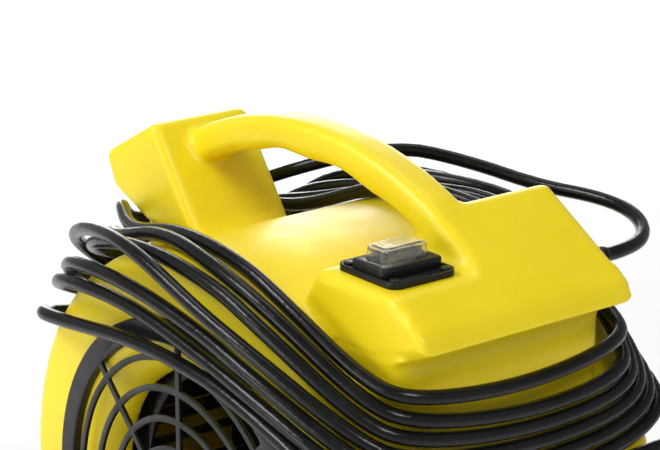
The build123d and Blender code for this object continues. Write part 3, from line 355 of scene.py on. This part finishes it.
# Strands moved one by one from where they are laid: turn, then place in the turn, then the move in mm
hand_moves = {
    0: {0: (12, 2.7, 14.2), 1: (-1.5, 2, 1), 3: (0, 0, 5), 4: (0, -1, 13), 5: (0, 0, 3), 10: (0, 0, 2),
        11: (1, 0, 8), 12: (1, 1, 12), 13: (0, 2, 8), 14: (0, -8, 0), 15: (0, -16.3, -2.7),
        16: (0, -0.8, 5.3), 17: (0, -2.5, -5.7)},
    1: {0: (13, -9, 7.4), 4: (0, 2.9, 2.1), 5: (0, 4.5, 0), 6: (0, 3.9, 0.1), 7: (0, -1.4, -0.5),
        14: (0, -9, 1), 15: (0, -14.2, 0.8), 16: (0, 1.2, 0.4), 17: (0, -6, -1)},
    2: {0: (9, -1.3, 11.9), 7: (0, 1.5, 1.6), 8: (0, 1, 0.9), 14: (0, -8, 4), 15: (0, -13.7, 1.8),
        16: (0, -1.7, -2.6), 17: (0, -6.2, 7.1)},
    3: {0: (5, -1.1, 14), 3: (-6.4, -6.4, 0), 4: (-5.4, -1.7, 16.5), 5: (-5.6, 10.1, 15.2),
        6: (-1.4, -2.3, 15.3), 7: (0.1, -2.6, -0.3), 8: (0, -0.4, -1.3), 14: (0, 0.2, -5.2),
        15: (0, 7.8, -2.7), 16: (-0.3, 6.3, -0.2), 17: (0, -5.9, 13.9)},
    4: {0: (2, -0.1, 15.1), 4: (0, 4.1, 2.9), 5: (0, 3.5, 6.6), 6: (0, 0, 3.1), 7: (0, 0, -1.5),
        8: (0, 0, -1.4), 14: (0, 0, -6), 15: (0, 2.3, -9.6), 16: (0, 7.7, -3.3), 17: (0, -6.9, 10.3)},
    5: {0: (0, -0.3, 15.7), 4: (0, 5.3, 3.8), 5: (0, 0.3, 9), 6: (0, 0, 3.9), 7: (0, 0, -3),
        8: (0, 0, -2.1), 14: (0, 0, -6), 15: (0, 1.2, -9.6), 16: (0, 7.6, -3), 17: (0, -6.7, 12.8)},
    6: {0: (0, -1, 17.9), 4: (0, -3.5, -2.5), 5: (0, 0, -6.8), 6: (0, 0, -4.7), 7: (0, 0, -1.5)}}
for turn, moves in hand_moves.items():
    for place, move in moves.items():
        turns[turn * STATIONS + place] += Vector(move)


def outward(points, before, after):
    """Control points moved out so that the spline passes near the points and not inside them."""
    row = [before] + points + [after]
    moved = []
    for last, point, following in zip(row, points, row[2:]):
        spans = sorted(((point - last).length, (following - point).length))
        moved.append(point + (point - (last + following) / 2) * 0.25 * spans[0] / spans[1])
    return moved


route = lead + outward(turns, lead[-1], tail[0]) + tail


def cord_curve(name, points):
    """Round cord along one smooth spline, from points above the fan axis."""
    curve = bpy.data.curves.new(name, "CURVE")
    curve.dimensions = "3D"
    curve.bevel_depth = CORD_RADIUS * MM
    curve.bevel_resolution = 4
    curve.resolution_u = 6
    curve.use_fill_caps = True
    spline = curve.splines.new("NURBS")
    spline.points.add(len(points) - 1)
    for control, point in zip(spline.points, points):
        place = (point + Vector((0, 0, AXIS_HEIGHT))) * MM
        control.co = (*place, 1.0)
    spline.order_u = 3
    spline.use_endpoint_u = True
    return link(name, curve, rubber, "blower", "cord_lead", "cord_winding", "cord_tail")


cord = cord_curve("mains_cord", route)


def turned(name, origin, way, profile, material, *nodes):
    """Round piece about a line: the profile gives distance along it and radius, in mm."""
    shape = bmesh.new()
    side = way.orthogonal().normalized()
    verts = [shape.verts.new((origin + way * along + side * radius) * MM) for along, radius in profile]
    edges = [shape.edges.new(pair) for pair in zip(verts, verts[1:])]
    bmesh.ops.spin(
        shape, geom=verts + edges, cent=origin * MM, axis=way, dvec=(0, 0, 0),
        angle=2 * math.pi, steps=48, use_merge=True)
    bmesh.ops.remove_doubles(shape, verts=shape.verts, dist=0.001 * MM)
    bmesh.ops.recalc_face_normals(shape, faces=shape.faces)
    mesh = to_mesh(shape, name)
    mesh.set_sharp_from_angle(angle=math.radians(50))
    return link(name, mesh, material, "blower", *nodes)


gland_profile = [(-12, 5.15), (-12, 8), (0, 8), (0, 12.4), (0.6, 13), (3.2, 13), (4, 12.2), (4, 9)]
for rib in range(6):
    start = 4.6 + rib * 4.1
    for step, rise in ((0.0, 0.0), (0.5, -0.9), (1.4, -0.9), (1.9, 0.0)):
        along = start + step
        gland_profile.append((along, 9 - (along - 4) * 2.8 / 26 + rise * 0.7))
gland_profile += [(29.4, 6.2), (30, 5.7), (30, 5.15)]
gland_place = Vector((140, 90, AXIS_HEIGHT + 184))
turned("gland_look", gland_place, Vector((0, 1, 0)), gland_profile, rubber, "cord_gland")

plug_top = tail[-1] + Vector((0, 0, AXIS_HEIGHT))
plug_way = (tail[-1] - tail[-2]).normalized()
plug_profile = [(0, 5.1), (0, 6.2)]
for groove in range(4):
    start = 2 + groove * 4.4
    plug_profile += [
        (start, 6.5 + start * 0.2), (start + 0.6, 5.7 + start * 0.2), (start + 1.8, 5.7 + start * 0.22),
        (start + 2.4, 6.5 + start * 0.22)]
plug_profile += [
    (22, 11.2), (25, 12.2), (28.6, 13), (31.5, 14.4), (33.5, 16.2), (35.4, 17.5), (36.8, 18), (50.8, 18),
    (51.7, 17.6), (52, 16.8), (52, 14.2), (51.2, 14), (51.2, 0)]
plug = turned("plug_look", plug_top, plug_way, plug_profile, rubber, "plug_body")
pins = dressed("plug_pins", brass, 0.9, "blower", 3)

# Floor, light and camera


def area_light(name, place, aim, size, energy):
    """Soft square light at a place, turned to its aim."""
    light = bpy.data.lights.new(name, "AREA")
    light.size = size
    light.energy = energy
    lamp = bpy.data.objects.new(name, light)
    bpy.context.scene.collection.objects.link(lamp)
    lamp.location = place
    lamp.rotation_euler = (Vector(aim) - Vector(place)).to_track_quat("-Z", "Y").to_euler()


floor_shape = bmesh.new()
bmesh.ops.create_grid(floor_shape, x_segments=8, y_segments=8, size=12.0)
floor = bpy.data.objects.new("floor", to_mesh(floor_shape, "floor"))
bpy.context.scene.collection.objects.link(floor)
floor.data.materials.append(
    surface("pale_floor", ((0.95, 0.95, 0.95), (0.97, 0.97, 0.97)), (0.75, 0.85), 3.0, ((60.0, 0.0001),)))

world = bpy.data.worlds.new("studio")
world.use_nodes = True
sky_nodes = world.node_tree.nodes
sky_links = world.node_tree.links
height = sky_nodes.new("ShaderNodeSeparateXYZ")
sky_links.new(sky_nodes.new("ShaderNodeTexCoord").outputs["Generated"], height.inputs["Vector"])
walls = sky_nodes.new("ShaderNodeMapRange")
walls.inputs["From Min"].default_value = 0.3
walls.inputs["From Max"].default_value = 1.0
walls.inputs["To Min"].default_value = 0.42
walls.inputs["To Max"].default_value = 0.1
sky_links.new(height.outputs["Z"], walls.inputs["Value"])
sky_links.new(walls.outputs["Result"], sky_nodes["Background"].inputs["Strength"])
sky_nodes["Background"].inputs["Color"].default_value = (1.0, 1.0, 1.0, 1.0)
bpy.context.scene.world = world
area_light("overhead", (-0.9, 0.75, 3.0), (-0.6, 0.5, 0.0), 1.6, 15.0)
area_light("key", (-0.9, -1.6, 2.2), (0.0, 0.0, 0.35), 0.9, 34.0)
area_light("front", (1.78, -0.61, 2.09), (0.2, 0.0, 0.39), 0.8, 25.0)
area_light("near_fill", (-0.5, -2.2, 0.7), (0.0, 0.0, 0.4), 1.0, 12.0)
area_light("low_back", (-2.41, 1.88, 0.97), (0.0, 0.0, 0.42), 1.8, 40.0)

VIEW_DISTANCE = 1.7
target = Vector((-0.008, 0.0, 0.4117))
azimuth = math.radians(52.0)
elevation = math.radians(17.5)
back = Vector((
    math.sin(azimuth) * math.cos(elevation), -math.cos(azimuth) * math.cos(elevation), math.sin(elevation)))
view = bpy.data.cameras.new("view")
view.sensor_width = 36.0
view.lens = 134.45
camera = bpy.data.objects.new("view", view)
bpy.context.scene.collection.objects.link(camera)
camera.location = target + back * VIEW_DISTANCE
camera.rotation_euler = (-back).to_track_quat("-Z", "Y").to_euler()
bpy.context.scene.camera = camera
bpy.context.scene.view_settings.view_transform = "Standard"
